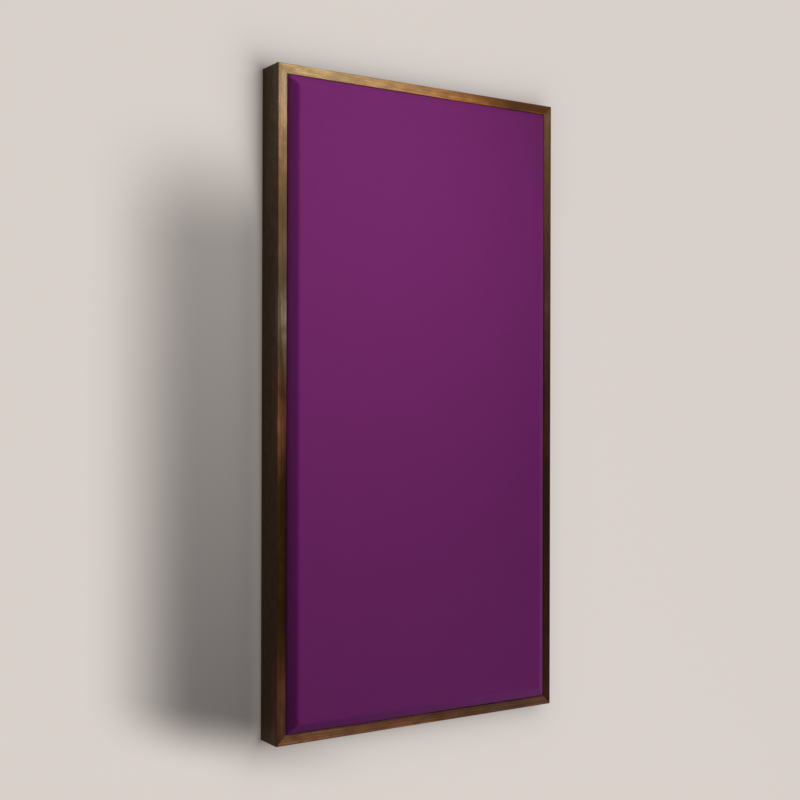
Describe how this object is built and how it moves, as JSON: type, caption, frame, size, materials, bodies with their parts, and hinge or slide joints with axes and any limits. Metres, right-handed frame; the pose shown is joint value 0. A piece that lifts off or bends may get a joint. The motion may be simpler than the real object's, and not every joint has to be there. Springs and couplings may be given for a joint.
{
  "type": "fabric acoustic wall panel",
  "caption": "Rectangular acoustic wall panel: a bevelled, fabric-covered fibre board standing slightly proud of a deep mitred hardwood frame.",
  "frame": {"origin": "middle of the panel's back, in the plane of the frame's back edges", "axes": "+Z out of the fabric face, away from the wall; +Y along the panel's length, towards the top rail; +X across its width, towards the right stile as seen from the front"},
  "size_m": [0.6478, 1.2574, 0.0762],
  "materials": {
    "walnut": "satin",
    "plum_fabric": "matte",
    "fibre_board": "matte",
    "softwood": "matte"
  },
  "bodies": {
    "root": {"left_stile": "walnut", "right_stile": "walnut", "top_rail": "walnut", "bottom_rail": "walnut", "acoustic_core": "fibre_board", "fabric_cover": "plum_fabric", "back_cleat_left": "softwood", "back_cleat_right": "softwood", "back_cleat_top": "softwood", "back_cleat_bottom": "softwood"}
  },
  "joints": []
}
